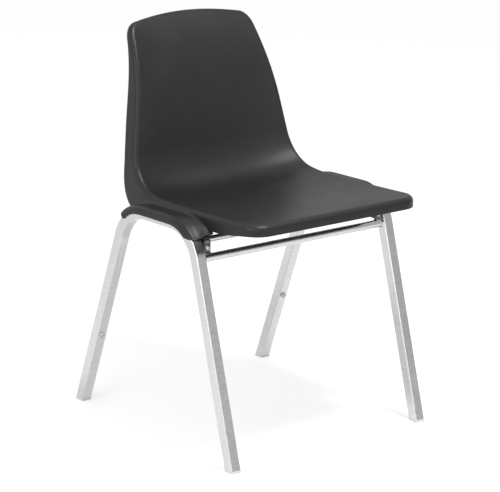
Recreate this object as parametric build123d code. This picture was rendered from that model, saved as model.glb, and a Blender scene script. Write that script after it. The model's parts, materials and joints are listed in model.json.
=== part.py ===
"""Stacking chair: a moulded seat-and-back shell hooked over two bent square-tube side frames."""
import os
from math import cos, degrees, radians, sin, sqrt, tan

from build123d import *

# Millimetres and degrees. +Z is up, the sitter faces -Y and +X is the sitter's left.
# The origin is on the floor, under the middle of the chair.

# Side frames: square tube bent into front leg, rail and rear leg
tube_side = 22.2
tube_wall = 1.2
tube_corner = 2.0
frame_gap = 28.0             # between the side of the seat and the middle of a side frame
front_foot_y = -246.5        # where the middle of a front leg meets the floor
rear_foot_y = 248.9
front_leg_slope = 16.8       # from the vertical
rear_leg_slope = 19.2
rail_height = 444.8          # middle of the rail, above the origin
rail_rise = 1.6              # the rail climbs towards the front
front_bend_radius = 78.0
rear_bend_radius = 89.0

# Bars between the side frames
front_bar_diameter = 16.0
front_bar_wall = 1.2
rod_diameter = 12.7          # support rod and rear rod
support_rod_angle = 48.8     # round the front bend, from its top
support_rod_inset = 2.5      # from the middle of the tube towards the inside of the bend
front_bar_drop = 29.5        # from the support rod down to the front bar
rear_rod_y = 10.0
weld_leg = 2.4               # side of the small triangular weld round each bar end
weld_gap = 0.1

# Glides in the leg ends
glide_lip = 5.0
glide_plug_length = 22.0
glide_clearance = 0.25
glide_edge = 1.6

# Stacking bumpers on the facing sides of the legs
bumper_diameter = 12.0
bumper_height = 4.0
bumper_edge = 1.5
bumper_shank_diameter = 6.0
bumper_shank_length = 5.0
bumper_clearance = 0.1
rear_bumper_level = 160.0
front_bumper_level = 256.0

# Shell: the line of its rim seen from the side
shell_wall = 4.0
front_edge_y = -260.7        # middle of the front edge
front_roll = 20.0            # radius of the rolled front edge
rim_height = 473.7           # top of the rolled edge
seat_tilt = 1.2              # the seat falls towards the back
seat_corner_y = 114.8        # where the lines of seat and back would meet
seat_bend_radius = 88.0
back_recline = 11.0          # lower back, from the vertical
back_straight = 60.0         # straight part above the bend
top_recline = 38.9           # the upper back curves over to this, from the vertical
back_height = 789.8          # crown of the back

# Shell: how far the middle is sunk below the rim
seat_dish = 14.0
back_dish = 12.0
front_dish = 1.0
crown_dish = 4.0
dish_run = 150.0             # distance from the rolled edge over which the dish deepens
dish_roundness = 0.65        # 0 is an even curve from side to side, 1 a flat middle with raised sides

# Shell: outline
seat_half_width = 210.0
seat_taper_y = -110.0        # the sides draw in from here to the front
front_taper = 9.0            # the front is this much narrower on each side
front_bow = 9.0              # the front edge is bowed forward in the middle
corner_fall = 6.0            # and falls back further in the corners
bow_run = 90.0               # both fade out over this distance
front_clear = 3.0            # the outline passes this far in front of the rolled edge
back_taper_z = 472.0         # the sides draw in from here to the shoulders
shoulder_taper = 49.5        # the shoulders are this much narrower on each side
shoulder_drop = 50.8         # from the crown down to the shoulders
crown_radius = 700.0
shoulder_radius = 30.0
waist_radius = 150.0         # eases the side of the seat into the side of the back
rim_round = 8.0

# Shell: depth of the turned-down rim
front_lip = 22.0             # depth of the rolled front edge
skirt_depth = 28.0
heel_share = 0.42            # the heel is deepest this far through the bend
skirt_run = 90.0             # the skirt deepens from the rolled edge over this distance
heel_depth = 60.0
flange_depth = 36.0
top_depth = 9.0

# Shell: saddles over the rails
saddle_gap = 0.3
saddle_wall = 3.0
saddle_cover = 13.5          # how far the outer skirt comes down over the tube
saddle_lining = 9.0          # how far the inner wall comes down over the tube
saddle_hook = 42.5           # angle that the hook follows round the rear bend
saddle_knuckle = 49.0        # angle that the knuckle follows round the front bend
saddle_round = 7.0
web_thickness = 4.0
web_drop = 5.0               # valley between rim and saddle, below the top of the saddle
web_slope = 7.0              # width of the slopes on both sides of the valley
web_round = 3.0
notch_gap = 0.5              # round the rods and their welds

# Fixing of the shell
tab_width = 14.0
tab_thickness = 3.0
tab_rise = 4.5               # of a front tab above the middle of the support rod
tab_gap = 2.6                # between a front tab and the leg
lug_foot = 3.0               # the lug ends this far above the foot of the tab
front_screw_level = 11.0     # above the foot of the tab
screw_end = 1.0              # the screw stands this far out of the nut
screw_diameter = 5.0
screw_head_diameter = 9.0
screw_head_height = 3.0
screw_head_edge = 1.2
screw_clearance = 0.15
nut_width = 8.0
nut_height = 4.0
rear_rod_gap = 0.6           # between the rear rod and the seat
rear_tab_inset = 60.0        # from the side of the seat
rear_tab_length = 30.0
rear_tab_overlap = 2.0       # the rear tab reaches this far past the middle of the rod
boss_diameter = 16.0
rear_screw_length = 12.0

half_tube = tube_side / 2
half_spacing = seat_half_width + frame_gap
sides = {"left": 1, "right": -1}


def unit(y, z):
    """Unit vector in the side view."""
    size = sqrt(y * y + z * z)
    return (y / size, z / size)


def in_side_view(point, x=0.0):
    """Point of the side view at distance x from the middle."""
    return Vector(x, point[0], point[1])


# Middle line of a side frame
def leg_corner(foot_y, lean):
    """Where the middle line of a leg meets the line of the rail."""
    rise = tan(radians(rail_rise))
    z = (rail_height - rise * foot_y) / (1 + rise * lean)
    return (foot_y + lean * z, z)


front_lean = tan(radians(front_leg_slope))
rear_lean = -tan(radians(rear_leg_slope))
front_up = unit(front_lean, 1)
rear_up = unit(rear_lean, 1)
rail_back = unit(1, -tan(radians(rail_rise)))
front_corner = leg_corner(front_foot_y, front_lean)
rear_corner = leg_corner(rear_foot_y, rear_lean)


def bend_centre(corner, along, leg_up, radius):
    """Centre of the bend between the rail, which leaves the corner along a direction, and a leg."""
    turn = unit(along[0] - leg_up[0], along[1] - leg_up[1])
    cosine = along[0] * turn[0] + along[1] * turn[1]
    reach = radius / sqrt(1 - cosine * cosine)
    return (corner[0] + turn[0] * reach, corner[1] + turn[1] * reach)


rail_front = (-rail_back[0], -rail_back[1])
front_bend = bend_centre(front_corner, rail_back, front_up, front_bend_radius)
rear_bend = bend_centre(rear_corner, rail_front, rear_up, rear_bend_radius)
front_turn = 90 - front_leg_slope + rail_rise
rear_turn = 90 - rear_leg_slope - rail_rise


def on_front_bend(angle, offset=0.0):
    """Point on the front bend, an angle past the rail, at an offset outside the middle line."""
    radius = front_bend_radius + offset
    around = radians(angle - rail_rise)
    return (front_bend[0] - radius * sin(around), front_bend[1] + radius * cos(around))


def on_rear_bend(angle, offset=0.0):
    radius = rear_bend_radius + offset
    around = radians(angle + rail_rise)
    return (rear_bend[0] + radius * sin(around), rear_bend[1] + radius * cos(around))


def arc(point_at, start, end, offset, x=0.0):
    """Arc round a bend from one angle to another."""
    angles = (start, (start + end) / 2, end)
    return ThreePointArc(*[in_side_view(point_at(angle, offset), x) for angle in angles])


def line(start, end, x=0.0):
    return Line(in_side_view(start, x), in_side_view(end, x))


def square(size, corner, origin, direction):
    """Rounded square section across a leg."""
    plane = Plane(origin=origin, x_dir=(1, 0, 0), z_dir=direction)
    return plane * RectangleRounded(size, size, corner)


def leg_axis(foot_y, up, x):
    """Point on the floor and direction of a leg's middle line."""
    return Vector(x, foot_y, 0), Vector(0, up[0], up[1])


def slab(low, high):
    """Block that keeps only what lies between two heights."""
    reach = 8 * half_spacing
    return Pos(0, 0, (low + high) / 2) * Box(reach, reach, high - low)


below_floor = 30.0
inside_side = tube_side - 2 * tube_wall
inside_corner = tube_corner - tube_wall


def bent_tube(x, size, corner):
    """Solid bar of the given section along a side frame's middle line, cut flat above the glides."""
    foot, front_way = leg_axis(front_foot_y, front_up, x)
    end, rear_way = leg_axis(rear_foot_y, rear_up, x)
    path = Wire([
        Line(foot - front_way * below_floor, in_side_view(on_front_bend(front_turn), x)),
        arc(on_front_bend, front_turn, 0, 0, x),
        line(on_front_bend(0), on_rear_bend(0), x),
        arc(on_rear_bend, 0, rear_turn, 0, x),
        Line(in_side_view(on_rear_bend(rear_turn), x), end - rear_way * below_floor),
    ])
    section = square(size, corner, foot - front_way * below_floor, front_way)
    return sweep(section, path=path) & slab(glide_lip, 2 * rail_height)


# Bumper seats: a point on the leg's face and the way the face looks
def bumper_seat(end, x):
    if end == "rear":
        foot_y, up, level = rear_foot_y, rear_up, rear_bumper_level
        facing = Vector(0, -up[1], up[0])
    else:
        foot_y, up, level = front_foot_y, front_up, front_bumper_level
        facing = Vector(0, up[1], -up[0])
    middle = Vector(x, foot_y + level * up[0] / up[1], level)
    return Plane(origin=middle + facing * half_tube, x_dir=(1, 0, 0), z_dir=facing)


def peg(plane, diameter, start, end):
    """Round bar along a plane's normal, from one distance to another."""
    return plane * Pos(0, 0, (start + end) / 2) * Cylinder(diameter / 2, end - start)


def side_frame(x):
    tube = bent_tube(x, tube_side, tube_corner) - bent_tube(x, inside_side, inside_corner)
    hole = bumper_shank_diameter + 2 * bumper_clearance
    for end in ("front", "rear"):
        tube -= peg(bumper_seat(end, x), hole, -2 * tube_wall, tube_wall)
    return tube


def bumper(end, x):
    """Moulded button with a shank that snaps into the leg."""
    seat = bumper_seat(end, x)
    head = peg(seat, bumper_diameter, 0, bumper_height)
    far = max(head.edges(), key=lambda edge: (edge.center() - seat.origin).dot(seat.z_dir))
    head = fillet(far, bumper_edge)
    return head + peg(seat, bumper_shank_diameter, -bumper_shank_length, 0)


def leg_block(foot_y, up, x, size, corner, low, high):
    """Length of a leg's section between two heights."""
    foot, way = leg_axis(foot_y, up, x)
    bar = extrude(square(size, corner, foot - way * below_floor, way), 2 * below_floor + high)
    return bar & slab(low, high)


def glide(foot_y, up, x):
    """Nylon plug: a lip under the tube and a stem inside it."""
    lip = leg_block(foot_y, up, x, tube_side, tube_corner, 0, glide_lip)
    lip = fillet(lip.faces().sort_by(Axis.Z)[0].edges(), glide_edge)
    stem_side = inside_side - 2 * glide_clearance
    stem_corner = inside_corner - glide_clearance
    top = glide_lip + glide_plug_length
    return lip + leg_block(foot_y, up, x, stem_side, stem_corner, glide_lip, top)


# Bars, welded between the inner faces of the side frames
bar_half_length = half_spacing - half_tube
support_rod_at = on_front_bend(support_rod_angle, -support_rod_inset)
front_bar_height = support_rod_at[1] - front_bar_drop
front_bar_at = (front_foot_y + front_lean * front_bar_height, front_bar_height)


def across(at, x=0.0):
    """Plane at a point of the side view, looking along +X."""
    return Plane(origin=in_side_view(at, x), x_dir=(0, 1, 0), z_dir=(1, 0, 0))


def cross_bar(at, diameter, wall=0.0):
    bar = peg(across(at), diameter, -bar_half_length, bar_half_length)
    if wall:
        bar -= peg(across(at), diameter - 2 * wall, -bar_half_length, bar_half_length)
    return bar


def bar_welds(at, diameter):
    """Weld ring at each end of a bar."""
    inner = diameter / 2 + weld_gap
    rings = []
    for side in sides.values():
        plane = across(at, side * bar_half_length)
        cone = Cone(inner + weld_leg, inner, weld_leg, align=(Align.CENTER, Align.CENTER, Align.MIN))
        bore = Cylinder(inner, 3 * weld_leg)
        ring = Rot(0, 180 if side > 0 else 0, 0) * (cone - bore)
        rings.append(plane * ring)
    return Compound(children=rings)


# Rim of the shell seen from the side: rolled front edge, seat, bend, lower back and curved upper back
roll_centre = (front_edge_y + front_roll, rim_height - front_roll)


def round_bend(centre, radius, heading):
    """Point of the side view on the upper left of a circle, where a path has the given heading."""
    return (centre[0] - radius * sin(radians(heading)), centre[1] + radius * cos(radians(heading)))


def go(start, heading, distance):
    return (start[0] + distance * cos(radians(heading)), start[1] + distance * sin(radians(heading)))


seat_start = round_bend(roll_centre, front_roll, -seat_tilt)
roll_run = front_roll * radians(90 + seat_tilt)


def rim_seat_z(y):
    return seat_start[1] - tan(radians(seat_tilt)) * (y - seat_start[0])


back_heading = 90 - back_recline
seat_turn = back_heading + seat_tilt
bend_reach = seat_bend_radius * tan(radians(seat_turn / 2))
seat_corner = (seat_corner_y, rim_seat_z(seat_corner_y))
bend_start = go(seat_corner, 180 - seat_tilt, bend_reach)
bend_middle = go(bend_start, 90 - seat_tilt, seat_bend_radius)
back_start = go(seat_corner, back_heading, bend_reach)
curve_point = go(back_start, back_heading, back_straight)
top_heading = 90 - top_recline
curve_rise = cos(radians(top_heading)) - cos(radians(back_heading))
back_curve_radius = (back_height - curve_point[1]) / curve_rise
curve_middle = go(curve_point, back_heading - 90, back_curve_radius)
seat_run = roll_run + (seat_corner_y - seat_start[0]) / cos(radians(seat_tilt)) - bend_reach
bend_run = seat_bend_radius * radians(seat_turn)
straight_start = seat_run + bend_run
curve_start = straight_start + back_straight


def rim(run):
    """Point on the rim and heading, in degrees above the horizontal, at a run from the lower front edge."""
    if run <= 0:
        return go((front_edge_y, roll_centre[1]), 90, run), 90
    if run <= roll_run:
        heading = 90 - degrees(run / front_roll)
        return round_bend(roll_centre, front_roll, heading), heading
    if run <= seat_run:
        return go(seat_start, -seat_tilt, run - roll_run), -seat_tilt
    if run <= straight_start:
        heading = degrees((run - seat_run) / seat_bend_radius) - seat_tilt
        return round_bend(bend_middle, -seat_bend_radius, heading), heading
    if run <= curve_start:
        return go(back_start, back_heading, run - straight_start), back_heading
    heading = back_heading - degrees((run - curve_start) / back_curve_radius)
    return round_bend(curve_middle, back_curve_radius, heading), heading


def inward(heading):
    """Direction from the rim towards the sitter."""
    return (-sin(radians(heading)), cos(radians(heading)))


def ease(share):
    """Smooth step from 0 to 1."""
    share = min(max(share, 0.0), 1.0)
    return share * share * (3 - 2 * share)


top_run = curve_start + back_curve_radius * radians(back_heading - top_heading)


def sunk(run):
    """How far the middle of the shell lies below the rim."""
    depth = front_dish + (seat_dish - front_dish) * ease((run - roll_run) / dish_run)
    depth += (back_dish - seat_dish) * ease((run - seat_run) / bend_run)
    return depth + (crown_dish - back_dish) * ease((run - curve_start) / (top_run - curve_start))


def bowl(share):
    """Rise of the shell from its middle (0) to its rim (1), for a share of the half width."""
    return (1 - dish_roundness) * share**2 + dish_roundness * share**4


back_slope = shoulder_taper / (back_height - shoulder_drop - back_taper_z)
front_half_width = seat_half_width - front_taper


def half_width(z):
    return min(seat_half_width, seat_half_width - back_slope * (z - back_taper_z))


skin_margin = 40.0           # how far the surface runs on past the front and the crown
skin_spread = 1.06           # and past the sides, as a share of the half width
skin_step = 12.4             # from one row of points to the next
skin_columns = 14


def front_shape(x):
    """How far the front edge lies behind its middle."""
    share = x / front_half_width
    return front_bow * share**2 + corner_fall * share**8


def skin(depth):
    """Upper surface of the shell, or one a depth below it, a little larger than the outline."""
    rows = []
    length = top_run + 2 * skin_margin
    count = round(length / skin_step)
    for row in range(count + 1):
        run = length * row / count - skin_margin
        (y, z), heading = rim(run)
        way = inward(heading)
        points = []
        for column in range(skin_columns + 1):
            share = skin_spread * (2 * column / skin_columns - 1)
            below = depth + sunk(run) * (1 - bowl(share))
            x = share * half_width(z)
            back = front_shape(x) * (1 - ease((run - roll_run) / bow_run))
            points.append(Vector(x, y + back - way[0] * below, z - way[1] * below))
        rows.append(points)
    return Face.make_surface_from_array_of_points(rows, tol=0.02)


def behind(surface):
    """Everything for some way behind and below a surface of the shell."""
    return extrude(surface, 4 * heel_depth, dir=(0, 1, -1))


near = 0.01                  # for finding edges and corners by place


def seat_plan(inset):
    """Outline of the seat from above, drawn in X and Y."""
    side = seat_half_width - inset
    front_side = front_half_width - inset
    front = front_edge_y - front_clear + inset
    far = 2 * back_height
    corners = [(front_side, front), (side, seat_taper_y), (side, far)]
    mirrored = [(-x, y) for x, y in reversed(corners)]
    return make_face(Polyline(*corners, *mirrored, close=True))


def back_view(inset):
    """Outline of the back from the front, drawn in X and Z."""
    side = seat_half_width - inset
    radius = crown_radius - inset
    lift = back_taper_z - (back_height - crown_radius)
    # the height at which the tapering side meets the crown
    square_term = 1 + back_slope**2
    cross_term = lift - back_slope * side
    free_term = side**2 + lift**2 - radius**2
    up = (sqrt(cross_term**2 - square_term * free_term) - cross_term) / square_term
    shoulder = (side - back_slope * up, back_taper_z + up)
    face = Face(Wire([
        Line((-side, 0), (side, 0)),
        Line((side, 0), (side, back_taper_z)),
        Line((side, back_taper_z), shoulder),
        ThreePointArc(shoulder, (0, back_height - inset), (-shoulder[0], shoulder[1])),
        Line((-shoulder[0], shoulder[1]), (-side, back_taper_z)),
        Line((-side, back_taper_z), (-side, 0)),
    ]))
    face = fillet(face.vertices().sort_by(Axis.Y)[-2:], shoulder_radius - inset)
    waists = [vertex for vertex in face.vertices() if abs(vertex.Y - back_taper_z) < near]
    return fillet(waists, waist_radius)


def outline(inset):
    """Space inside the shell's outline, from above and from the front."""
    seat = extrude(seat_plan(inset), 2 * back_height)
    back = extrude(Plane.XZ * back_view(inset), back_height, both=True)
    return seat & back


def rim_depth(run):
    """Depth of the turned-down rim: side skirt, heel, back flange and top."""
    middle = seat_run + heel_share * bend_run
    depth = front_lip + (skirt_depth - front_lip) * ease((run - roll_run) / skirt_run)
    depth += (heel_depth - skirt_depth) * ease((run - seat_run) / (middle - seat_run))
    depth += (flange_depth - heel_depth) * ease((run - middle) / (straight_start - middle))
    return depth + (top_depth - flange_depth) * ease((run - curve_start) / (top_run - curve_start))


lip_level = rim_height - front_lip
rim_stations = 18


def rim_side_view():
    """Everything on the sitter's side of the rim's lower and rear edge."""
    points = [Vector(0, front_edge_y - front_roll, lip_level), Vector(0, front_edge_y, lip_level)]
    for station in range(rim_stations + 1):
        run = roll_run + (top_run + skin_margin - roll_run) * station / rim_stations
        at, heading = rim(run)
        way = inward(heading)
        depth = rim_depth(run)
        points.append(Vector(0, at[0] - way[0] * depth, at[1] - way[1] * depth))
    above = Vector(0, -2 * back_height, 2 * back_height)
    front = Vector(0, -2 * back_height, lip_level)
    face = Face(Wire([
        Spline(points),
        Line(points[-1], above),
        Line(above, front),
        Line(front, points[0]),
    ]))
    return extrude(face, half_spacing, dir=(1, 0, 0), both=True)


def tray():
    """Seat and back with the turned-down rim round them."""
    block = behind(skin(0)) & outline(0) & rim_side_view()
    top = max(block.faces(), key=lambda face: face.area * (face.normal_at().Z > 0))
    edges = [edge for edge in top.outer_wire().edges() if edge.position_at(0.5).Z > lip_level + near]
    block = fillet(edges, rim_round)
    return block - (behind(skin(shell_wall)) & outline(shell_wall))


saddle_inside = half_tube + saddle_gap
saddle_outside = saddle_inside + saddle_wall
saddle_valley = saddle_outside - web_drop
inner_face = half_spacing - saddle_outside


def saddle():
    """Channel moulded over the left rail, with the web that joins it to the rim."""
    path = Wire([
        arc(on_front_bend, saddle_knuckle, 0, 0, half_spacing),
        line(on_front_bend(0), on_rear_bend(0), half_spacing),
        arc(on_rear_bend, 0, saddle_hook, 0, half_spacing),
    ])
    # section: across the rail from its middle, and out from its middle
    rim_side = seat_half_width - shell_wall / 2 - half_spacing
    corners = [
        (saddle_outside, half_tube - saddle_cover),
        (saddle_outside, saddle_outside),
        (-saddle_inside, saddle_outside),
        (-saddle_inside - web_slope, saddle_valley),
        (rim_side + web_slope, saddle_valley),
        (rim_side, saddle_outside),
        (rim_side, saddle_valley - web_thickness),
        (-saddle_outside, saddle_valley - web_thickness),
        (-saddle_outside, half_tube - saddle_lining),
        (-saddle_inside, half_tube - saddle_lining),
        (-saddle_inside, saddle_inside),
        (saddle_inside, saddle_inside),
        (saddle_inside, half_tube - saddle_cover),
    ]
    section = make_face(Polyline(*corners, close=True))
    tube_round = tube_corner + saddle_gap
    rounds = {1: saddle_round, 2: web_round, 3: web_round, 4: web_round, 10: tube_round, 11: tube_round}
    for corner, radius in rounds.items():
        section = fillet(section.vertices().sort_by_distance(Vector(*corners[corner]))[:1], radius)
    start = in_side_view(on_front_bend(saddle_knuckle), half_spacing)
    out = in_side_view(on_front_bend(saddle_knuckle, 1), half_spacing) - start
    plane = Plane(origin=start, x_dir=(1, 0, 0), z_dir=Vector(1, 0, 0).cross(out))
    return sweep(plane * section, path=path)


# Fixing: front tabs on the front bar, rear tabs under the rear rod
rear_rod_z = rim_seat_z(rear_rod_y) - seat_dish - shell_wall - rear_rod_gap - rod_diameter / 2
rear_rod_at = (rear_rod_y, rear_rod_z)
front_tab_foot = front_bar_height + front_bar_diameter / 2
front_tab_x = bar_half_length - tab_gap - tab_width / 2
front_tab_y = front_bar_at[0]
front_tab_height = support_rod_at[1] + tab_rise - front_tab_foot
rear_tab_x = seat_half_width - rear_tab_inset
# the lug fills the space between a front tab and the end of the web, up to the inside of the saddle
lug_front = front_tab_y + tab_thickness / 2
lug_thickness = on_front_bend(saddle_knuckle, saddle_valley - web_thickness)[0] - lug_front
lug_top = on_front_bend(saddle_knuckle, saddle_inside)[1]
rear_tab_top = rear_rod_z - rod_diameter / 2
rear_screw_y = rear_rod_y - rear_tab_length + tab_width / 2


def front_screw_axis(x):
    """Plane in the front face of a front tab, looking backwards."""
    origin = (x, front_tab_y - tab_thickness / 2, front_tab_foot + front_screw_level)
    return Plane(origin=origin, x_dir=(1, 0, 0), z_dir=(0, 1, 0))


def rear_screw_axis(x):
    """Plane in the lower face of a rear tab, looking up."""
    return Plane(origin=(x, rear_screw_y, rear_tab_top - tab_thickness), z_dir=(0, 0, 1))


front_screw_length = tab_thickness + lug_thickness + nut_height + screw_end
screw_hole = screw_diameter + 2 * screw_clearance


def screw(plane, length):
    """Pan-head screw with its head in front of the plane."""
    head = peg(plane, screw_head_diameter, -screw_head_height, 0)
    rim_edge = min(head.edges(), key=lambda edge: (edge.center() - plane.origin).dot(plane.z_dir))
    return fillet(rim_edge, screw_head_edge) + peg(plane, screw_diameter, 0, length)


def nut(plane):
    start = tab_thickness + lug_thickness
    hexagon = RegularPolygon(nut_width / 2, 6, major_radius=False)
    block = extrude(plane * Pos(0, 0, start) * hexagon, nut_height)
    return block - peg(plane, screw_hole, 0, front_screw_length)


def front_tab(x):
    plate = Box(tab_width, tab_thickness, front_tab_height, align=(Align.CENTER, Align.CENTER, Align.MIN))
    plate = Pos(x, front_tab_y, front_tab_foot) * plate
    return plate - peg(front_screw_axis(x), screw_hole, -tab_thickness, 2 * tab_thickness)


def rear_tab(x):
    length = rear_tab_length + rear_tab_overlap
    plate = Box(tab_width, length, tab_thickness, align=(Align.CENTER, Align.MAX, Align.MAX))
    plate = Pos(x, rear_rod_y + rear_tab_overlap, rear_tab_top) * plate
    return plate - peg(rear_screw_axis(x), screw_hole, -tab_thickness, 2 * tab_thickness)


def bead(at, x, tab, bar_at, bar_diameter):
    """Weld bead along the line where a tab meets a round bar."""
    start, end = x - tab_width / 2, x + tab_width / 2
    bar = peg(across(bar_at), bar_diameter + 2 * weld_gap, start - weld_leg, end + weld_leg)
    return peg(across(at), 2 * weld_leg, start, end) - tab - bar


def tab_beads(side):
    """Two beads at the foot of a front tab and one on the rear tab of the same side."""
    x = side * front_tab_x
    face = tab_thickness / 2 + weld_gap
    tab = Pos(x, front_tab_y, 0) * Box(2 * tab_width, 2 * face, 4 * back_height)
    beads = []
    for way in (-1, 1):
        at = (front_tab_y + way * face, front_tab_foot)
        beads.append(bead(at, x, tab, front_bar_at, front_bar_diameter))
    x = side * rear_tab_x
    top = rear_tab_top + weld_gap
    below = (Align.CENTER, Align.CENTER, Align.MAX)
    tab = Pos(x, rear_rod_y, top) * Box(2 * tab_width, 2 * rear_tab_length, 2 * weld_leg, align=below)
    at = (rear_rod_y - rod_diameter / 3, top)
    beads.append(bead(at, x, tab, rear_rod_at, rod_diameter))
    return beads


def front_lug():
    """Lug under the end of the left knuckle, behind the front tab."""
    foot = front_tab_foot + lug_foot
    lug = Box(tab_width, lug_thickness, lug_top - foot, align=(Align.CENTER, Align.MIN, Align.MIN))
    lug = Pos(front_tab_x, lug_front, foot) * lug
    return lug - peg(front_screw_axis(front_tab_x), screw_hole, 0, front_screw_length)


def rear_boss():
    """Boss under the left half of the seat, standing on the rear tab."""
    axis = rear_screw_axis(rear_tab_x)
    boss = peg(axis, boss_diameter, tab_thickness, tab_thickness + heel_depth)
    boss &= behind(skin(shell_wall / 2))
    return boss - peg(axis, screw_hole, 0, rear_screw_length + screw_end)


def rod_notch(at):
    """Room in the left skirt and saddle for a rod and the weld at its end."""
    way = peg(across(at), rod_diameter + 2 * notch_gap, seat_half_width - 2 * shell_wall, half_spacing)
    ring = rod_diameter + 2 * (weld_gap + weld_leg + notch_gap)
    return way + peg(across(at), ring, inner_face - notch_gap, half_spacing)


def seat_shell():
    half = saddle() + front_lug() + rear_boss()
    notches = rod_notch(support_rod_at) + rod_notch(rear_rod_at)
    shell = tray() + half + mirror(half, Plane.YZ)
    return shell - notches - mirror(notches, Plane.YZ)


nodes = {
    "seat_shell": seat_shell(),
    "front_crossbar": cross_bar(front_bar_at, front_bar_diameter, front_bar_wall),
    "support_rod": cross_bar(support_rod_at, rod_diameter),
    "rear_rod": cross_bar(rear_rod_at, rod_diameter),
    "front_crossbar_welds": bar_welds(front_bar_at, front_bar_diameter),
    "support_rod_welds": bar_welds(support_rod_at, rod_diameter),
    "rear_rod_welds": bar_welds(rear_rod_at, rod_diameter),
    "tab_welds": Compound(children=[bead for side in sides.values() for bead in tab_beads(side)]),
    "front_screws": Compound(children=[
        screw(front_screw_axis(side * front_tab_x), front_screw_length) for side in sides.values()
    ]),
    "front_nuts": Compound(children=[nut(front_screw_axis(side * front_tab_x)) for side in sides.values()]),
    "rear_screws": Compound(children=[
        screw(rear_screw_axis(side * rear_tab_x), rear_screw_length) for side in sides.values()
    ]),
}
for name, side in sides.items():
    x = side * half_spacing
    nodes["side_frame_" + name] = side_frame(x)
    nodes["front_tab_" + name] = front_tab(side * front_tab_x)
    nodes["rear_tab_" + name] = rear_tab(side * rear_tab_x)
    nodes["front_glide_" + name] = glide(front_foot_y, front_up, x)
    nodes["rear_glide_" + name] = glide(rear_foot_y, rear_up, x)
    nodes["front_bumper_" + name] = bumper("front", x)
    nodes["rear_bumper_" + name] = bumper("rear", x)

os.makedirs("parts", exist_ok=True)
for node, shape in nodes.items():
    export_step(shape, "parts/" + node + ".step")
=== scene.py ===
import json
from math import acos, atan, cos, pi, radians, sin, sqrt, tan

import bmesh
import bpy
from mathutils import Matrix, Vector

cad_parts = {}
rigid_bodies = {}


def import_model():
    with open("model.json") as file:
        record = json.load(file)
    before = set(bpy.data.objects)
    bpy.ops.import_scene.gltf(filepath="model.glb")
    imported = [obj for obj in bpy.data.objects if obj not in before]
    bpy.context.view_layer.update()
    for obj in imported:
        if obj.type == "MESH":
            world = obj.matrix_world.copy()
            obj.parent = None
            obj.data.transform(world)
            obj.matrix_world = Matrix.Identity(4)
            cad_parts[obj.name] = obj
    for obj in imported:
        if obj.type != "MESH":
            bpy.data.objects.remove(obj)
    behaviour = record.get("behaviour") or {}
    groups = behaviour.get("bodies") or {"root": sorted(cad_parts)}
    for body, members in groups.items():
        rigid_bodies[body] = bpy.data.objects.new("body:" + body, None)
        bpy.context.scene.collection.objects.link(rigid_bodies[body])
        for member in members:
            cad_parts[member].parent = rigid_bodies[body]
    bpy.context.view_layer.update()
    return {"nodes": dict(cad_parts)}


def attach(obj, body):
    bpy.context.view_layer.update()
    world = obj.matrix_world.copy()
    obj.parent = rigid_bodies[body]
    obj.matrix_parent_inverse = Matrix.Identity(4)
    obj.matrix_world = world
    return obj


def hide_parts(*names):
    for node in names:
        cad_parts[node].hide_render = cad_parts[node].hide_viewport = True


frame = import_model()


# Seat shell: one injection-moulded piece of charcoal polypropylene with a fine grain. Seat and back are
# one dished sheet whose edge is rolled over and turned down all round. Two saddles moulded on its sides
# hook over the rails, and lugs and bosses underneath take the screws. Pieces are measured in millimetres.
millimetre = 0.001
shell_wall = 4.0
seat_half_width = 210.0
front_flare = 2.5                        # gain of half width at the front of the seat
flare_start_y, flare_length = -40.0, 220.0
back_taper = 0.1854                      # loss of half width per height of the back
taper_level, taper_ease = 472.0, 14.0    # height where the taper sets in, and how softly

# the rim's line seen from the side: it runs from the front edge over seat, bend and back to the crown
front_edge_y, front_edge_z = -260.7, 477.4
front_tilt = radians(2.42)               # the seat falls towards the back, less and less
seat_length, seat_turn = 276.6, radians(1.796)
entry_radius, entry_turn = 240.0, radians(12)
bend_radius, bend_turn = 78.0, radians(67.624)
straight_length = 64.8
curve_radius, curve_turn = 438.98, radians(29.2)
rim_parts = [                            # length and turn of each part
    (seat_length, seat_turn),
    (entry_radius * entry_turn, entry_turn),
    (bend_radius * bend_turn, bend_turn),
    (straight_length, 0.0),
    (curve_radius * curve_turn, -curve_turn),
]
bend_start = seat_length
bend_end = bend_start + entry_radius * entry_turn + bend_radius * bend_turn
curve_start = bend_end + straight_length
crown_run = curve_start + curve_radius * curve_turn

# depth of the shell's middle below the rim: the runs between which it changes, and the new depth
dish_at_front = 1.0
dish_steps = [
    (15.0, 265.0, 14.0),                 # seat
    (bend_start, bend_end, 12.0),        # back
    (curve_start, crown_run, 4.0),       # crown
]
hollow_depth = 15.0                      # added where seat and back meet
hollow_grows, hollow_fades = (285.0, 370.0), (390.0, 560.0)
dish_roundness = 0.35                    # share of a parabola across the dish; the rest has a flatter middle

# depth of the turned-down edge, in the same form
lip_depth = 22.5
heel_share = 0.58                        # the heel is the deepest place, this far round the bend
heel_run = bend_start + heel_share * (bend_end - bend_start)
skirt_steps = [
    (20.0, 110.0, 32.0),                 # front part of the side
    (160.0, 240.0, 29.0),                # rear part of the side
    (bend_start, heel_run, 67.0),        # heel
    (heel_run, bend_end, 40.0),          # flange of the back
    (curve_start, crown_run, 13.0),      # crown
]
rod_y = 10.0                             # the rear rod passes through a round notch in the skirt
notch_radius, notch_drop = 7.0, 25.2


def ease(share):
    """Smooth step from 0 to 1."""
    share = min(max(share, 0.0), 1.0)
    return share * share * (3 - 2 * share)


def change(run, start, end):
    """Smooth step between two runs."""
    return ease((run - start) / (end - start))


def stepped(run, first, steps):
    """Value at a run that starts as the first one and goes smoothly through the steps."""
    value = before = first
    for start, end, after in steps:
        value += (after - before) * change(run, start, end)
        before = after
    return value


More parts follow.
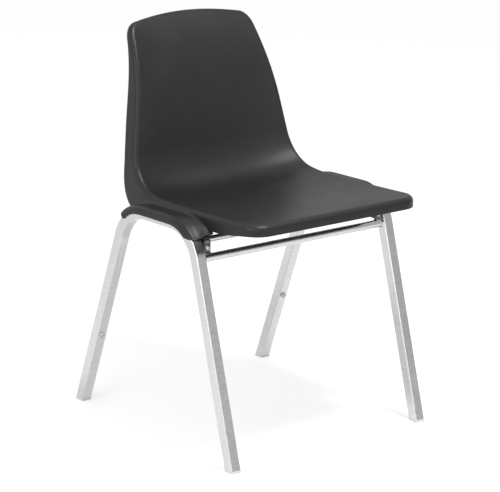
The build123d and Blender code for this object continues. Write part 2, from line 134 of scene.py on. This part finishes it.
def rim(run):
    """Y, Z and heading of the rim's line at a run from its front end."""
    y, z = front_edge_y, front_edge_z
    heading = -front_tilt
    for length, turn in rim_parts:
        part = min(run, length)
        if turn:
            radius = length / turn
            end = heading + part / radius
            y += radius * (sin(end) - sin(heading))
            z -= radius * (cos(end) - cos(heading))
            heading = end
        else:
            y += part * cos(heading)
            z += part * sin(heading)
        run -= part
        if run <= 0:
            break
    return y, z, heading


def run_at(z):
    """Run at which the back reaches a height, found by halving."""
    low, high = bend_end, crown_run
    halvings = 40
    for step in range(halvings):
        middle = (low + high) / 2
        if rim(middle)[1] < z:
            low = middle
        else:
            high = middle
    return low


def half_width(run):
    """Half width of the shell."""
    y, z, heading = rim(run)
    width = seat_half_width + front_flare * (max(flare_start_y - y, 0) / flare_length)**2
    if run > bend_start:
        rise = z - taper_level
        if rise < taper_ease:
            rise = max(rise + taper_ease, 0)**2 / (4 * taper_ease)
        width -= back_taper * rise
    return width


def height(run, x):
    """Height of the upper surface over the rim's line."""
    hollow = hollow_depth * change(run, *hollow_grows) * (1 - change(run, *hollow_fades))
    depth = stepped(run, dish_at_front, dish_steps) + hollow
    share = min(abs(x) / half_width(run), 1.0)
    return -depth * (1 - dish_roundness * share**2 - (1 - dish_roundness) * share**4)


def skirt_depth(run):
    """Depth of the turned-down edge below the rim's line."""
    depth = stepped(run, lip_depth, skirt_steps)
    off = run + front_edge_y - rod_y
    if abs(off) < notch_radius:
        depth = min(depth, notch_drop - sqrt(notch_radius**2 - off * off))
    return depth


def shell_point(run, x, up):
    y, z, heading = rim(run)
    return Vector((x, y - up * sin(heading), z + up * cos(heading)))


# the shell's outline as runs and X: front edge, corner, side, shoulder and crown, then the other half
front_bow, bow_half_width = 1.5, 200.0   # the front edge is bowed forward in the middle
corner_reach, corner_pull, corner_steps = 42.0, 0.56, 18
corner_x = seat_half_width + front_flare
side_start = front_bow + corner_reach
shoulder_start_z = 756.0
shoulder_z, shoulder_x = 777.5, 153.3    # the corner that the shoulder rounds off
shoulder_pull, shoulder_steps = 0.62, 12
crown_x = 134.5                          # the crown is a shallow arch between the shoulders
crown_z, crown_radius = 796.0, 700.0
row, bend_row = 6.0, 4.0                 # distance of the mesh's rows along the outline
notch_rows = (2, 4, 6, 6.9, 7.2)         # and their distances from the middle of the notch


def front_run(x):
    return front_bow * (x / bow_half_width)**2


def crown_at(x):
    return run_at(crown_z - crown_radius + sqrt(crown_radius**2 - x * x))


def spread(start, end, step):
    """Evenly spaced values, about a step apart."""
    count = max(round(abs(end - start) / step), 1)
    return [start + (end - start) * i / count for i in range(count + 1)]


def rounded(start, corner, end, count, pull):
    """Points of a rounded corner between two ends, without the ends."""
    first, last = Vector(start), Vector(end)
    leave = first.lerp(Vector(corner), pull)
    arrive = last.lerp(Vector(corner), pull)
    points = []
    for step in range(1, count):
        gone = step / count
        left = 1 - gone
        early = first * left**3 + leave * 3 * gone * left**2
        points.append(tuple(early + arrive * 3 * gone * gone * left + last * gone**3))
    return points


notch_run = rod_y - front_edge_y
notch_runs = [notch_run - off for off in reversed(notch_rows)] + [notch_run]
notch_runs += [notch_run + off for off in notch_rows]
side_runs = spread(side_start, notch_runs[0], row) + notch_runs[1:-1]
side_runs += spread(notch_runs[-1], bend_end, bend_row)[:-1]
side_runs += spread(bend_end, run_at(shoulder_start_z), row)
half_outline = [(front_run(x), x) for x in spread(0, corner_x - corner_reach, row)]
half_outline += rounded(half_outline[-1], (front_run(corner_x), corner_x),
                        (side_start, half_width(side_start)), corner_steps, corner_pull)
half_outline += [(run, half_width(run)) for run in side_runs]
half_outline += rounded(half_outline[-1], (run_at(shoulder_z), shoulder_x),
                        (crown_at(crown_x), crown_x), shoulder_steps, shoulder_pull)
half_outline += [(crown_at(x), x) for x in spread(crown_x, 0, row)]
outline = half_outline + [(run, -x) for run, x in half_outline[-2:0:-1]]

# the edge's section
side_roll, lip_roll = 9.0, 12.0          # radius of the rolled edge at the sides and at the front
least_fall = 1.5                         # the skirt falls at least this far below its roll
edge_round = [(0, 1), (0.3, 0.3), (1, 0)]    # inwards and upwards from the corner of the skirt's end
spine_margin = 110.0                     # all sections meet on a middle line that stops short of both ends
sheet_rows, row_bias = 30, 1.3           # rows of the sheet's mesh, closer together near the edge
roll_rows, outer_rows, inner_rows = 11, 6, 4
lean_tries = 4


def edge_section(index):
    """Points from the middle of the shell over its edge and back to the middle underneath."""
    before, at, after = outline[index - 1], Vector(outline[index]), outline[(index + 1) % len(outline)]
    out = Vector((before[1] - after[1], after[0] - before[0])).normalized()
    roll = side_roll + (lip_roll - side_roll) * ease(-out[0])
    lean = 0.0
    for step in range(lean_tries):       # the roll starts in line with the dished sheet
        inner = at - out * roll * (1 + sin(lean))
        lean = atan((height(*(inner + out)) - height(*(inner - out))) / 2)
    level = height(*inner) - roll * cos(lean)
    centre = inner + out * roll * sin(lean)
    depth = max(skirt_depth(at[0]), least_fall - level)
    fall = -depth - level
    inner_roll = roll - shell_wall
    spine = Vector((min(max(at[0], spine_margin), crown_run - spine_margin), 0))
    sheet = [inner.lerp(spine, (1 - step / sheet_rows)**row_bias) for step in range(sheet_rows)]
    turns = [-lean + (pi / 2 + lean) * step / roll_rows for step in range(roll_rows + 1)]
    end = edge_round + [(shell_wall - inwards, up) for inwards, up in reversed(edge_round)]
    points = [(*place, height(*place)) for place in sheet]
    points += [(*(centre + out * roll * sin(turn)), level + roll * cos(turn)) for turn in turns]
    points += [(*at, level + fall * step / outer_rows) for step in range(1, outer_rows)]
    points += [(*(at - out * inwards), up - depth) for inwards, up in end]
    points += [(*(at - out * shell_wall), level + fall * step / inner_rows)
               for step in reversed(range(1, inner_rows))]
    points += [(*(centre + out * inner_roll * sin(turn)), level + inner_roll * cos(turn))
               for turn in reversed(turns[::2])]
    points += [(*place, height(*place) - shell_wall) for place in reversed(sheet[::2])]
    return [shell_point(*point) for point in points]


def rings_to_mesh(mesh, rings, around):
    """Skin over open lines that follow each other all around, or over closed rings with capped ends."""
    verts = [[mesh.verts.new(point * millimetre) for point in ring] for ring in rings]
    for one, two in zip(verts, verts[1:] + (verts[:1] if around else [])):
        count = len(one)
        for i in range(count - 1 if around else count):
            j = (i + 1) % count
            mesh.faces.new((one[i], one[j], two[j], two[i]))
    if not around:
        mesh.faces.new(reversed(verts[0]))
        mesh.faces.new(verts[-1])


def clean(mesh):
    """Joins points that lie in one place and turns all faces outwards."""
    same_place = 1e-6
    bmesh.ops.remove_doubles(mesh, verts=mesh.verts, dist=same_place)
    bmesh.ops.recalc_face_normals(mesh, faces=mesh.faces)


shell = bmesh.new()
rings_to_mesh(shell, [edge_section(index) for index in range(len(outline))], True)
clean(shell)

# the saddles' path: round the front bend of the tube, along the rail and round the rear bend
rail_x = 238.0
rail_rise = radians(1.6)                 # the rail falls towards the back
front_bend, front_radius = (-53.83, 368.27), 78.0    # Y and Z of the middle of the bend, and its radius
rear_bend, rear_radius = (31.07, 354.90), 89.0
rail_start_y = front_bend[0] + front_radius * sin(rail_rise)
rail_start_z = front_bend[1] + front_radius * cos(rail_rise)
knuckle_level = 427.5                    # the front end of the saddle is cut level
web_turn = radians(47.4)                 # but its web ends at this angle round the bend
hook_turn = radians(42.5)                # the rear end reaches this far round its bend
front_stations, rear_stations = 16, 14
rail_middle_y = -25.0
rod_offsets = (-10, -9, 0, 9, 10)
stations = [("front", 1 - step / front_stations) for step in range(front_stations + 1)]
stations += [("rail", rail_middle_y)] + [("rail", rod_y + off) for off in rod_offsets]
stations += [("rear", step / rear_stations) for step in range(rear_stations + 1)]

# the saddles' section: places across the rail from its middle, and out from it
tube_half, play, saddle_wall = 11.1, 0.3, 3.0
channel = tube_half + play
cover = channel + saddle_wall
cover_round = 10.0
round_from = cover - cover_round
round_turns = [radians(turn) for turn in range(12, 90, 13)]
lower_edge, inner_edge = -2.4, 2.1
valley_start, valley_end, valley_depth, valley_rows = -6.0, -19.0, 2.6, 9
web_end = -31.5
outer = [(cover, lower_edge), (cover, 1), (cover, round_from)]    # side, then rounded top, valley and rise
outer += [(round_from + cover_round * cos(turn), round_from + cover_round * sin(turn))
          for turn in round_turns]
outer += [(round_from, cover), (1, cover), (-2.5, cover)]
outer += [(valley_start + (valley_end - valley_start) * step / valley_rows,
           cover - valley_depth * ease(step / valley_rows)) for step in range(valley_rows)]
outer += [(valley_end, cover - valley_depth), (-21, 11.9), (-23, 12.4), (-25, 13.4)]
outer += [(-26.8, 14.9), (-28.2, 16.7), (-29.4, 18.8), (web_end, 20)]
arch = [(channel, 9.1), (10.7, 10.7), (9.1, channel)]
inner = [(web_end, 13), (-27, 9.4), (-22.5, 7.6), (-18, 7.6), (-cover, 8.4)]    # web, inner wall and channel
inner += [(-cover, inner_edge), (-channel, inner_edge)]
inner += [(-across, out) for across, out in arch] + arch[::-1] + [(channel, lower_edge)]
swelling = outer + [inner[0], inner[-1]]
tail_swell = 5.5                         # these places stand off further at the rear end
web_from, web_blend = -9.0, 6.0          # the web starts here, across the rail
lean_from, lean_width = 3.0, 35.0        # at the front it leans forward and up, more towards the shell
lean_forward, lean_up = 12.0, 6.0
valley_fade = 1.4                        # and the valley fades out before the bend ends
rod_level = 8.6                          # the inner wall is cut back to this level where the rods pass:
rod_room, front_rod_from = 9.5, 0.75     # near the rear rod, and from this share of the front bend on


def saddle_point(across, out, part, where):
    """Point of the section at a share of the front bend, a Y along the rail or a share of the rear bend."""
    lean = 0.0
    at_rod = False
    if part == "front":
        level_end = acos((knuckle_level - front_bend[1]) / (front_radius + out))
        end = level_end + (web_turn - level_end) * ease((web_from - across) / web_blend)
        angle = rail_rise - where * (end + rail_rise)
        (y, z), radius = front_bend, front_radius
        lean = ease(where) * ease((lean_from - across) / lean_width)
        at_rod = where > front_rod_from
        if across <= valley_start and (across, out) in outer:
            out += (cover - out) * ease(valley_fade * where)
    elif part == "rail":
        angle, radius = rail_rise, 0.0
        y, z = where, rail_start_z - tan(rail_rise) * (where - rail_start_y)
        at_rod = abs(where - rod_y) < rod_room
    else:
        angle = rail_rise + where * hook_turn
        (y, z), radius = rear_bend, rear_radius
        if (across, out) in swelling:
            out += tail_swell * ease(where)
    if at_rod and across <= -channel:
        out = max(out, rod_level)
    return Vector((rail_x + across, y + (radius + out) * sin(angle) - lean_forward * lean,
                   z + (radius + out) * cos(angle) + lean_up * lean))


# lugs behind the front tabs and bosses over the rear tabs
lug_low, lug_high = (210.3, -127.2, 401.1), (224.3, -115.2, 428.8)
boss_x, boss_y, boss_radius = 150.0, -13.0, 8.0
boss_low, boss_high = 437.2, 454.0
boss_sides = 24
lug_corners = [(lug_low[0], lug_low[1]), (lug_high[0], lug_low[1]),
               (lug_high[0], lug_high[1]), (lug_low[0], lug_high[1])]
boss_turns = [2 * pi * step / boss_sides for step in range(boss_sides)]
boss_corners = [(boss_x + boss_radius * cos(turn), boss_y + boss_radius * sin(turn)) for turn in boss_turns]
side_parts = [
    [[saddle_point(across, out, *station) for across, out in outer + inner] for station in stations],
    [[Vector((x, y, z)) for x, y in lug_corners] for z in (lug_low[2], lug_high[2])],
    [[Vector((x, y, z)) for x, y in boss_corners] for z in (boss_low, boss_high)],
]
for side in (1, -1):
    piece = bmesh.new()
    for rings in side_parts:
        rings_to_mesh(piece, [[point * Vector((side, 1, 1)) for point in ring] for ring in rings], False)
    clean(piece)
    half = bpy.data.meshes.new("half")
    piece.to_mesh(half)
    shell.from_mesh(half)
    bpy.data.meshes.remove(half)
    piece.free()
shell_crease = radians(38)
shell_mesh = bpy.data.meshes.new("shell")
shell.to_mesh(shell_mesh)
shell.free()
shell_mesh.shade_smooth()
shell_mesh.set_sharp_from_angle(angle=shell_crease)
shell_piece = bpy.data.objects.new("shell", shell_mesh)
objects = bpy.context.scene.collection.objects
objects.link(shell_piece)
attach(shell_piece, "root")
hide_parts("seat_shell")


def add(tree, kind, inputs=None, **settings):
    """Node of a kind, with its settings and the values or links of its inputs."""
    made = tree.nodes.new(kind)
    for name, value in settings.items():
        setattr(made, name, value)
    for key, value in (inputs or {}).items():
        if isinstance(value, bpy.types.NodeSocket):
            tree.links.new(value, made.inputs[key])
        else:
            made.inputs[key].default_value = value
    return made


def new_group(name, inputs, outputs):
    """Shader node group with number inputs and their defaults, and typed outputs."""
    tree = bpy.data.node_groups.new(name, "ShaderNodeTree")
    for label, value in inputs.items():
        socket = tree.interface.new_socket(label, in_out="INPUT", socket_type="NodeSocketFloat")
        socket.default_value = value
    for label, kind in outputs.items():
        tree.interface.new_socket(label, in_out="OUTPUT", socket_type="NodeSocket" + kind)
    return tree, tree.nodes.new("NodeGroupInput").outputs, tree.nodes.new("NodeGroupOutput").inputs


# uneven gloss, a slight cloudiness of the colour and a fine relief
grain_defaults = {
    "Grains per metre": 900.0, "Relief": 0.1, "Gloss low": 0.4, "Gloss high": 0.5, "Patches per metre": 14.0}
relief_depth = 0.0004                    # metres
grain, give, take = new_group(
    "surface grain", grain_defaults, {"Roughness": "Float", "Cloud": "Float", "Normal": "Vector"})
place = add(grain, "ShaderNodeTexCoord").outputs["Object"]
fine = add(grain, "ShaderNodeTexNoise", {"Vector": place, "Scale": give["Grains per metre"], "Detail": 2.0})
cloud = add(grain, "ShaderNodeTexNoise", {"Vector": place, "Scale": give["Patches per metre"], "Detail": 5.0})
gloss = add(grain, "ShaderNodeMapRange", {
    "Value": cloud.outputs["Fac"], "From Min": 0.3, "From Max": 0.7,
    "To Min": give["Gloss low"], "To Max": give["Gloss high"]})
relief = add(grain, "ShaderNodeBump", {
    "Height": fine.outputs["Fac"], "Strength": give["Relief"], "Distance": relief_depth})
grain.links.new(gloss.outputs["Result"], take["Roughness"])
grain.links.new(cloud.outputs["Fac"], take["Cloud"])
grain.links.new(relief.outputs["Normal"], take["Normal"])

# a broken mask along the outer edges
wear, give, take = new_group("edge wear", {"Edge": 0.53, "Spread": 0.06, "Amount": 0.5}, {"Mask": "Float"})
place = add(wear, "ShaderNodeTexCoord").outputs["Object"]
point = add(wear, "ShaderNodeNewGeometry").outputs["Pointiness"]
top = add(wear, "ShaderNodeMath", {0: give["Edge"], 1: give["Spread"]}, operation="ADD")
edge = add(wear, "ShaderNodeMapRange", {
    "Value": point, "From Min": give["Edge"], "From Max": top.outputs["Value"]})
spots = add(wear, "ShaderNodeTexNoise", {"Vector": place, "Scale": 160.0, "Detail": 4.0})
broken = add(wear, "ShaderNodeMapRange", {"Value": spots.outputs["Fac"], "From Min": 0.42, "From Max": 0.6})
both = add(wear, "ShaderNodeMath", {
    0: edge.outputs["Result"], 1: broken.outputs["Result"]}, operation="MULTIPLY")
mask = add(wear, "ShaderNodeMath", {0: both.outputs["Value"], 1: give["Amount"]}, operation="MULTIPLY")
wear.links.new(mask.outputs["Value"], take["Mask"])


def mix_colours(tree, share, low, high):
    """Colour between two, which are links or values."""
    share_input, low_input, high_input, colour_output = 0, 6, 7, 2
    mixed = add(tree, "ShaderNodeMix", data_type="RGBA")
    tree.links.new(share, mixed.inputs[share_input])
    for index, value in ((low_input, low), (high_input, high)):
        if isinstance(value, bpy.types.NodeSocket):
            tree.links.new(value, mixed.inputs[index])
        else:
            mixed.inputs[index].default_value = (*value, 1)
    return mixed.outputs[colour_output]


def finish_material(name, low, high, worn, metal, specular, grain_inputs, wear_inputs):
    """Material whose colour lies between two, with a worn colour on its edges."""
    made = bpy.data.materials.new(name)
    made.use_nodes = True
    tree = made.node_tree
    shader = tree.nodes["Principled BSDF"]
    surface = add(tree, "ShaderNodeGroup", node_tree=grain)
    edges = add(tree, "ShaderNodeGroup", node_tree=wear)
    for group_node, values in ((surface, grain_inputs), (edges, wear_inputs)):
        for label, value in values.items():
            group_node.inputs[label].default_value = value
    body = mix_colours(tree, surface.outputs["Cloud"], low, high)
    colour = mix_colours(tree, edges.outputs["Mask"], body, worn)
    tree.links.new(colour, shader.inputs["Base Color"])
    tree.links.new(surface.outputs["Roughness"], shader.inputs["Roughness"])
    tree.links.new(surface.outputs["Normal"], shader.inputs["Normal"])
    shader.inputs["Metallic"].default_value = metal
    shader.inputs["Specular IOR Level"].default_value = specular
    return made


plastic = finish_material(
    "charcoal polypropylene", low=(0.0075, 0.0075, 0.0077), high=(0.011, 0.011, 0.0112),
    worn=(0.035, 0.035, 0.035), metal=0.0, specular=0.27,
    grain_inputs={"Grains per metre": 520.0, "Relief": 0.7, "Gloss low": 0.38, "Gloss high": 0.46,
                  "Patches per metre": 12.0},
    wear_inputs={"Edge": 0.54, "Spread": 0.1, "Amount": 0.35})
shell_mesh.materials.append(plastic)


# Side frames, bars and their welds: bright chrome-plated steel. Each side frame is one square tube bent
# twice; the round bars are welded between the frames and plated together with them.
chrome = finish_material(
    "chrome plate", low=(0.53, 0.53, 0.545), high=(0.57, 0.57, 0.585),
    worn=(0.66, 0.66, 0.67), metal=1.0, specular=0.5,
    grain_inputs={"Grains per metre": 260.0, "Relief": 0.01, "Gloss low": 0.18, "Gloss high": 0.24,
                  "Patches per metre": 20.0},
    wear_inputs={"Edge": 0.52, "Spread": 0.05, "Amount": 0.4})


def paint(names, look):
    """Gives CAD nodes a material."""
    for name in names:
        mesh = frame["nodes"][name].data
        mesh.materials.clear()
        mesh.materials.append(look)


paint(["side_frame_left", "side_frame_right", "front_crossbar", "support_rod", "rear_rod"], chrome)
paint(["front_crossbar_welds", "support_rod_welds", "rear_rod_welds"], chrome)


# Tabs: small flat steel straps welded to the bars and coated dark. The shell is screwed to them, at the
# front by its lugs and at the back by its bosses.
coated = finish_material(
    "dark coated steel", low=(0.012, 0.012, 0.012), high=(0.02, 0.02, 0.021),
    worn=(0.16, 0.16, 0.165), metal=0.0, specular=0.5,
    grain_inputs={"Grains per metre": 1500.0, "Relief": 0.1, "Gloss low": 0.32, "Gloss high": 0.5,
                  "Patches per metre": 60.0},
    wear_inputs={"Edge": 0.53, "Spread": 0.08, "Amount": 0.8})
paint(["front_tab_left", "front_tab_right", "rear_tab_left", "rear_tab_right", "tab_welds"], coated)


# Screws and nuts: zinc-plated pan-head screws with a hexagon socket, turned and rolled from wire; two go
# through the front tabs into nuts behind the lugs and two go up through the rear tabs into the bosses.
zinc = finish_material(
    "zinc plate", low=(0.40, 0.40, 0.41), high=(0.52, 0.52, 0.53),
    worn=(0.7, 0.7, 0.71), metal=1.0, specular=0.5,
    grain_inputs={"Grains per metre": 2500.0, "Relief": 0.06, "Gloss low": 0.24, "Gloss high": 0.4,
                  "Patches per metre": 120.0},
    wear_inputs={"Edge": 0.53, "Spread": 0.08, "Amount": 0.6})
paint(["front_nuts"], zinc)
hexagon, circle = 6, 0                   # corners of a section
screw_sides = 36
front_screw_x, front_screw_y, front_screw_z = 217.3, -130.23, 409.07
rear_screw_z = 434.15                    # under the bosses
front_screw_length, rear_screw_length = 20.0, 12.0


def lathe(name, profile, sides):
    """Closed turned piece along +Z, from the radius, height and corners of each ring of its profile."""
    turned_crease = radians(35)
    rings = []
    for radius, level, corners in profile:
        ring = []
        for step in range(sides):
            turn = 2 * pi * step / sides
            reach = radius
            if corners:
                wedge = pi / corners
                reach = radius * cos(wedge) / cos(turn % (2 * wedge) - wedge)
            ring.append(Vector((reach * cos(turn), reach * sin(turn), level)))
        rings.append(ring)
    mesh = bmesh.new()
    rings_to_mesh(mesh, rings, False)
    bmesh.ops.recalc_face_normals(mesh, faces=mesh.faces)
    made = bpy.data.meshes.new(name)
    mesh.to_mesh(made)
    mesh.free()
    made.shade_smooth()
    made.set_sharp_from_angle(angle=turned_crease)
    return bpy.data.objects.new(name, made)


def repeat(name, piece, look, places):
    """Plain mesh object with a piece set at each place, turned about X; made with geometry nodes."""
    tree = bpy.data.node_groups.new("repeat " + name, "GeometryNodeTree")
    for label, kind in (("Places", "Geometry"), ("Piece", "Object"), ("Finish", "Material")):
        tree.interface.new_socket(label, in_out="INPUT", socket_type="NodeSocket" + kind)
    tree.interface.new_socket("Pieces", in_out="OUTPUT", socket_type="NodeSocketGeometry")
    given = tree.nodes.new("NodeGroupInput").outputs
    source = add(tree, "GeometryNodeObjectInfo", {"Object": given["Piece"]})
    turn = add(tree, "GeometryNodeInputNamedAttribute", {"Name": "turn"}, data_type="FLOAT_VECTOR")
    copies = add(tree, "GeometryNodeInstanceOnPoints", {
        "Points": given["Places"], "Instance": source.outputs["Geometry"],
        "Rotation": turn.outputs["Attribute"]})
    solid = add(tree, "GeometryNodeRealizeInstances", {"Geometry": copies.outputs["Instances"]})
    dressed = add(tree, "GeometryNodeSetMaterial", {
        "Geometry": solid.outputs["Geometry"], "Material": given["Finish"]})
    add(tree, "NodeGroupOutput", {"Pieces": dressed.outputs["Geometry"]})
    points = bpy.data.meshes.new(name)
    points.from_pydata([[value * millimetre for value in at] for at, angle in places], [], [])
    turns = points.attributes.new("turn", "FLOAT_VECTOR", "POINT")
    for index, (at, angle) in enumerate(places):
        turns.data[index].vector = (angle, 0, 0)
    carrier = bpy.data.objects.new(name, points)
    objects.link(carrier)
    objects.link(piece)
    modifier = carrier.modifiers.new("repeat", "NODES")
    modifier.node_group = tree
    sockets = {item.name: item.identifier for item in tree.interface.items_tree if item.in_out == "INPUT"}
    modifier[sockets["Piece"]] = piece
    modifier[sockets["Finish"]] = look
    seen = bpy.context.evaluated_depsgraph_get()
    plain = bpy.data.meshes.new_from_object(carrier.evaluated_get(seen), depsgraph=seen)
    carrier.modifiers.remove(modifier)
    carrier.data = plain
    plain.name = name
    bpy.data.objects.remove(piece)
    return carrier


def screw(length):
    """Screw with the underside of its head at the origin and its shank along +Z."""
    socket = [(1.9, -1.2), (2.0, -2.9)]
    head = [(2.5, -3.0), (3.3, -2.9), (4.0, -2.4), (4.4, -1.5), (4.5, 0)]
    shank = [(2.5, 0), (2.5, length - 0.6), (1.9, length)]
    profile = [(*ring, hexagon) for ring in socket] + [(*ring, circle) for ring in head + shank]
    return lathe("screw", profile, screw_sides)


front_screws = repeat("front_screws_look", screw(front_screw_length), zinc, [
    ((side * front_screw_x, front_screw_y, front_screw_z), -pi / 2) for side in (1, -1)])
rear_screws = repeat("rear_screws_look", screw(rear_screw_length), zinc, [
    ((side * boss_x, boss_y, rear_screw_z), 0.0) for side in (1, -1)])
for look, cad in ((front_screws, "front_screws"), (rear_screws, "rear_screws")):
    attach(look, "root")
    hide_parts(cad)


# Stacking bumpers: translucent soft-plastic buttons with a dimple, each pressed into a hole in the face of
# a leg that looks at the other legs, so that the frames of stacked chairs don't scratch each other.
soft = finish_material(
    "soft plastic", low=(0.62, 0.62, 0.61), high=(0.74, 0.74, 0.73),
    worn=(0.8, 0.8, 0.8), metal=0.0, specular=0.5,
    grain_inputs={"Grains per metre": 1200.0, "Relief": 0.08, "Gloss low": 0.22, "Gloss high": 0.34,
                  "Patches per metre": 90.0},
    wear_inputs={"Edge": 0.55, "Spread": 0.1, "Amount": 0.3})
soft.node_tree.nodes["Principled BSDF"].inputs["Transmission Weight"].default_value = 0.35
front_slope, rear_slope = radians(16.8), radians(19.2)    # of the legs, from upright
front_foot_y, rear_foot_y = -246.5, 248.9
front_bumper_z, rear_bumper_z = 256.0, 160.0    # on the middle line of the leg
button_sides = 32
dimple = [(1.2, 2.6), (2.2, 2.8), (2.9, 3.6)]
dome = [(3.6, 4.0), (4.5, 4.0), (5.3, 3.6), (5.8, 2.9), (6.0, 2.0), (6.0, 0)]
peg = [(3.0, 0), (3.0, -4.4), (2.4, -5)]
button = lathe("button", [(*ring, circle) for ring in dimple + dome + peg], button_sides)
front_seat = (front_foot_y + front_bumper_z * tan(front_slope) + tube_half * cos(front_slope),
              front_bumper_z - tube_half * sin(front_slope))
rear_seat = (rear_foot_y - rear_bumper_z * tan(rear_slope) - tube_half * cos(rear_slope),
             rear_bumper_z - tube_half * sin(rear_slope))
bumpers = repeat("bumpers", button, soft, [
    ((side * rail_x, *seat), turn) for side in (1, -1)
    for seat, turn in ((front_seat, -pi / 2 - front_slope), (rear_seat, pi / 2 + rear_slope))])
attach(bumpers, "root")
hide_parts("front_bumper_left", "front_bumper_right", "rear_bumper_left", "rear_bumper_right")


# Glides: pale moulded nylon plugs pressed into the cut ends of the legs, a little scuffed where they meet
# the floor.
nylon = finish_material(
    "pale nylon", low=(0.50, 0.50, 0.49), high=(0.60, 0.60, 0.59),
    worn=(0.42, 0.42, 0.40), metal=0.0, specular=0.45,
    grain_inputs={"Grains per metre": 1500.0, "Relief": 0.12, "Gloss low": 0.4, "Gloss high": 0.55,
                  "Patches per metre": 70.0},
    wear_inputs={"Edge": 0.53, "Spread": 0.08, "Amount": 0.5})
paint(["front_glide_left", "front_glide_right", "rear_glide_left", "rear_glide_right"], nylon)


# Studio: a pale floor that shows as white, a surround that is bright at the left and dim at the right, and
# three soft boxes: a large one at the left, a small one overhead and one in front. Sizes are in metres.
floor_half = 20
floor_grey = 0.50
floor_lift = 0.48                        # added where the floor is seen, so that it shows as white
bright_side = (-0.90, 0.20, 0.10)        # where the surround is brightest
chair_middle = (0, 0, 0.5)
floor_mesh = bpy.data.meshes.new("floor")
floor_mesh.from_pydata([(x * floor_half, y * floor_half, 0) for x, y in ((-1, -1), (1, -1), (1, 1), (-1, 1))],
                       [], [(0, 1, 2, 3)])
floor = bpy.data.objects.new("floor", floor_mesh)
objects.link(floor)
white = bpy.data.materials.new("floor")
white.use_nodes = True
white_tree = white.node_tree
white_inputs = white_tree.nodes["Principled BSDF"].inputs
white_inputs["Roughness"].default_value = 0.9
white_inputs["Specular IOR Level"].default_value = 0.1
white_inputs["Base Color"].default_value = (floor_grey, floor_grey, floor_grey, 1)
white_inputs["Emission Color"].default_value = (1, 1, 1, 1)
floor_mesh.materials.append(white)
ray = add(white_tree, "ShaderNodeLightPath").outputs
shows = ray["Is Camera Ray"]
for kind in ("Is Glossy Ray", "Is Transmission Ray"):
    shows = add(white_tree, "ShaderNodeMath", {0: shows, 1: ray[kind]}, operation="MAXIMUM").outputs["Value"]
lift = add(white_tree, "ShaderNodeMath", {0: shows, 1: floor_lift}, operation="MULTIPLY")
white_tree.links.new(lift.outputs["Value"], white_inputs["Emission Strength"])

# the surround is plain white where the camera sees it
world = bpy.data.worlds.new("studio")
bpy.context.scene.world = world
world.use_nodes = True
sky = world.node_tree
way = add(sky, "ShaderNodeTexCoord").outputs["Generated"]
towards = add(sky, "ShaderNodeVectorMath", {0: way, 1: bright_side}, operation="DOT_PRODUCT")
level = add(sky, "ShaderNodeMapRange", {
    "Value": towards.outputs["Value"], "From Min": -0.8, "From Max": 0.6, "To Min": 0.62, "To Max": 1.15},
    interpolation_type="SMOOTHSTEP")
seen_white = add(sky, "ShaderNodeMix", {
    "Factor": add(sky, "ShaderNodeLightPath").outputs["Is Camera Ray"],
    "A": level.outputs["Result"], "B": 1.0}, data_type="FLOAT")
sky.links.new(seen_white.outputs["Result"], sky.nodes["Background"].inputs["Strength"])
sky.nodes["Background"].inputs["Color"].default_value = (1, 1, 1, 1)


def soft_box(name, at, size, power):
    """Rectangular area light that looks at the chair."""
    light = bpy.data.lights.new(name, "AREA")
    light.shape = "RECTANGLE"
    light.size, light.size_y = size
    light.energy = power
    lamp = bpy.data.objects.new(name, light)
    lamp.location = at
    lamp.rotation_euler = (Vector(chair_middle) - Vector(at)).to_track_quat("-Z", "Y").to_euler()
    objects.link(lamp)


soft_box("key", at=(-2.9, -0.9, 1.5), size=(2.0, 2.4), power=46)
soft_box("top", at=(0.25, -0.75, 2.5), size=(0.45, 0.45), power=46)
soft_box("fill", at=(0.3, -3.3, 1.3), size=(1.8, 1.8), power=18)


# Camera: a long lens at the photograph's angle, fitted to the legs, rails and bars in the photograph. It
# looks at a point near the middle of the chair and is rolled by a small angle.
azimuth, elevation, tilt = radians(-39.428), radians(15.457), radians(1.378)
aim, distance = Vector((0, 0.00125, 0.38416)), 4.3029
back = Vector((sin(azimuth) * cos(elevation), -cos(azimuth) * cos(elevation), sin(elevation)))
right = Vector((cos(azimuth), sin(azimuth), 0))
up = back.cross(right)
lens = bpy.data.cameras.new("camera")
lens.lens = 155.2
lens.sensor_width = 36
lens.shift_x = -0.00576
lens.shift_y = -0.0355
camera = bpy.data.objects.new("camera", lens)
objects.link(camera)
axes = (right * cos(tilt) + up * sin(tilt), up * cos(tilt) - right * sin(tilt), back)
stand = Matrix(axes).transposed().to_4x4()
stand.translation = aim + back * distance
camera.matrix_world = stand
bpy.context.scene.camera = camera
bpy.context.scene.view_settings.view_transform = "Standard"
